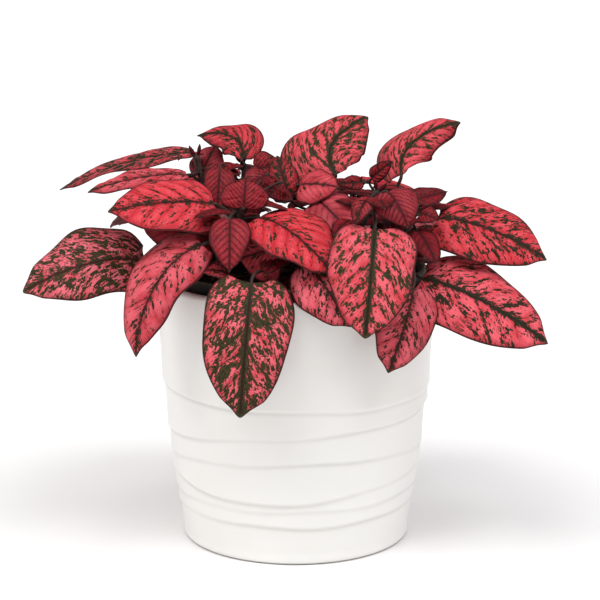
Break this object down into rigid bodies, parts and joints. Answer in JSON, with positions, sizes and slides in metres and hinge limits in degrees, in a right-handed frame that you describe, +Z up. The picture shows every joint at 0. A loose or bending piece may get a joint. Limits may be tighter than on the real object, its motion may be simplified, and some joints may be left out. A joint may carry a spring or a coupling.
{
  "type": "potted polka dot plant",
  "caption": "Bushy polka dot plant with pink, green-speckled leaves, in a black nursery pot set inside a white glazed cover pot with soft pressed bands.",
  "frame": {"origin": "centre of the cover pot's flat resting face", "axes": "+Z up, +X to the right and -Y to the front of the plant as it is usually seen"},
  "size_m": [0.2473, 0.197, 0.2025],
  "materials": {
    "white_glaze": "satin off-white glaze over softly pressed, uneven bands",
    "black_plastic": "thin moulded black plastic",
    "potting_mix": "loose dark potting mix",
    "stem_skin": "purplish grey-green stem skin with swollen nodes",
    "leaf_spotted": "coral pink leaf with dense dark green speckles along the veins",
    "leaf_pink": "coral pink leaf with a few dark green speckles and a thin dark margin",
    "leaf_crimson": "glossy deep crimson young leaf with raised pinkish veins"
  },
  "bodies": {
    "root": {"pot": "white_glaze", "nursery_pot": "black_plastic", "soil": "potting_mix", "shoot_front": "stem_skin", "shoot_front_left": "stem_skin", "shoot_front_right": "stem_skin", "shoot_left": "stem_skin", "shoot_right": "stem_skin", "shoot_crown_left": "stem_skin", "shoot_crown": "stem_skin", "shoot_crown_right": "stem_skin", "shoot_back_left": "stem_skin", "shoot_back_right": "stem_skin", "leaf_front_low": "leaf_pink", "leaf_front_large": "leaf_spotted", "leaf_rim_curly": "leaf_crimson", "leaf_rim_shade": "leaf_pink", "leaf_left_low": "leaf_pink", "leaf_left_mid": "leaf_pink", "leaf_left_shade": "leaf_pink", "leaf_young_lower": "leaf_crimson", "leaf_young_upper": "leaf_crimson", "leaf_centre": "leaf_pink", "leaf_bud_front": "leaf_crimson", "leaf_bud_low": "leaf_crimson", "leaf_centre_plain": "leaf_pink", "leaf_front_centre": "leaf_spotted", "leaf_cup_left": "leaf_crimson", "leaf_cup_right": "leaf_crimson", "leaf_left_far": "leaf_spotted", "leaf_left_high": "leaf_pink", "leaf_left_high_under": "leaf_pink", "leaf_left_behind": "leaf_pink", "leaf_front_right": "leaf_pink", "leaf_right_low": "leaf_pink", "leaf_right_high": "leaf_pink", "leaf_small_right_upper": "leaf_crimson", "leaf_small_right_lower": "leaf_crimson", "leaf_right_shade_upper": "leaf_pink", "leaf_right_shade_lower": "leaf_pink", "leaf_crown_wing": "leaf_pink", "leaf_crown_dark": "leaf_crimson", "leaf_crown_side": "leaf_crimson", "leaf_crown_pink": "leaf_pink", "leaf_crown_large": "leaf_spotted", "leaf_crown_plain": "leaf_pink", "leaf_bow_left": "leaf_crimson", "leaf_crown_speckled": "leaf_pink", "leaf_back_inner": "leaf_pink", "leaf_crown_right": "leaf_spotted", "leaf_bow_right": "leaf_crimson", "leaf_back_far_left": "leaf_spotted", "leaf_back_left": "leaf_spotted", "leaf_back_left_high": "leaf_pink", "leaf_back_left_young": "leaf_crimson", "leaf_back_centre_low": "leaf_spotted", "leaf_back_centre_high": "leaf_pink", "leaf_back_right": "leaf_spotted", "leaf_back_far_right": "leaf_spotted", "leaf_back_right_high": "leaf_pink"}
  },
  "joints": []
}
